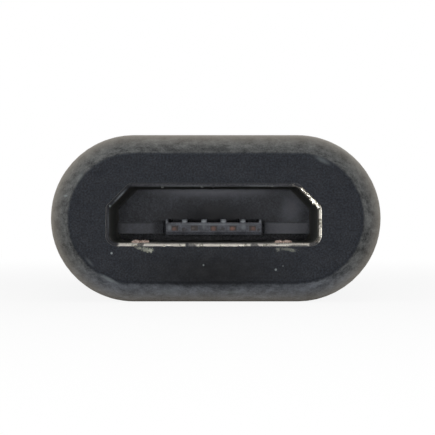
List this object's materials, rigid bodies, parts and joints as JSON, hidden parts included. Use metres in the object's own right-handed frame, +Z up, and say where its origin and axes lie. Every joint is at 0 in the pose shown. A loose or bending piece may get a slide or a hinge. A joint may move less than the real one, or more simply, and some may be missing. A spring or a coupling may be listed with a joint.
{
  "type": "usb-c to micro-usb adapter",
  "caption": "Short oval data and charging adapter: a micro-usb socket in one end of a matt black housing, a usb-c plug at the other.",
  "frame": {"origin": "middle of the bounding box's underside, on the surface that the adapter lies on", "axes": "+Y from the micro-usb socket's end to the usb-c plug's end, +X to the right seen from the socket's end, +Z up, with the socket's wide side down"},
  "size_m": [0.011, 0.0266, 0.0056],
  "materials": {
    "housing_plastic": "fine matt moulded texture, near black",
    "collar_plastic": "matt moulded, near black",
    "socket_steel": "stamped steel, nickel plated",
    "plug_steel": "deep-drawn stainless steel, satin",
    "insulator_plastic": "moulded high-temperature plastic, black",
    "socket_contact_metal": "copper alloy, cut ends bare",
    "plug_contact_metal": "copper alloy with a thin gold layer",
    "spring_steel": "stamped spring steel",
    "board_laminate": "glass laminate with green lacquer",
    "resistor_body": "black film on ceramic, tinned ends",
    "capacitor_body": "tan ceramic, tinned ends"
  },
  "bodies": {
    "root": {"housing_sleeve": "housing_plastic", "rear_collar": "collar_plastic", "socket_shell": "socket_steel", "socket_insulator": "insulator_plastic", "circuit_board": "board_laminate", "pull_up_resistor": "resistor_body", "bypass_capacitor": "capacitor_body", "plug_shell": "plug_steel", "plug_insulator": "insulator_plastic", "plug_upper_carrier": "insulator_plastic", "plug_lower_carrier": "insulator_plastic", "plug_latch_plate": "spring_steel", "plug_upper_ground_spring": "spring_steel", "plug_lower_ground_spring": "spring_steel", "socket_power_contact": "socket_contact_metal", "socket_data_minus_contact": "socket_contact_metal", "socket_data_plus_contact": "socket_contact_metal", "socket_id_contact": "socket_contact_metal", "socket_ground_contact": "socket_contact_metal", "plug_contact_ground_a1": "plug_contact_metal", "plug_contact_power_a4": "plug_contact_metal", "plug_contact_channel_a5": "plug_contact_metal", "plug_contact_data_plus_a6": "plug_contact_metal", "plug_contact_data_minus_a7": "plug_contact_metal", "plug_contact_power_a9": "plug_contact_metal", "plug_contact_ground_a12": "plug_contact_metal", "plug_contact_ground_b1": "plug_contact_metal", "plug_contact_power_b4": "plug_contact_metal", "plug_contact_power_b9": "plug_contact_metal", "plug_contact_ground_b12": "plug_contact_metal"}
  },
  "joints": []
}
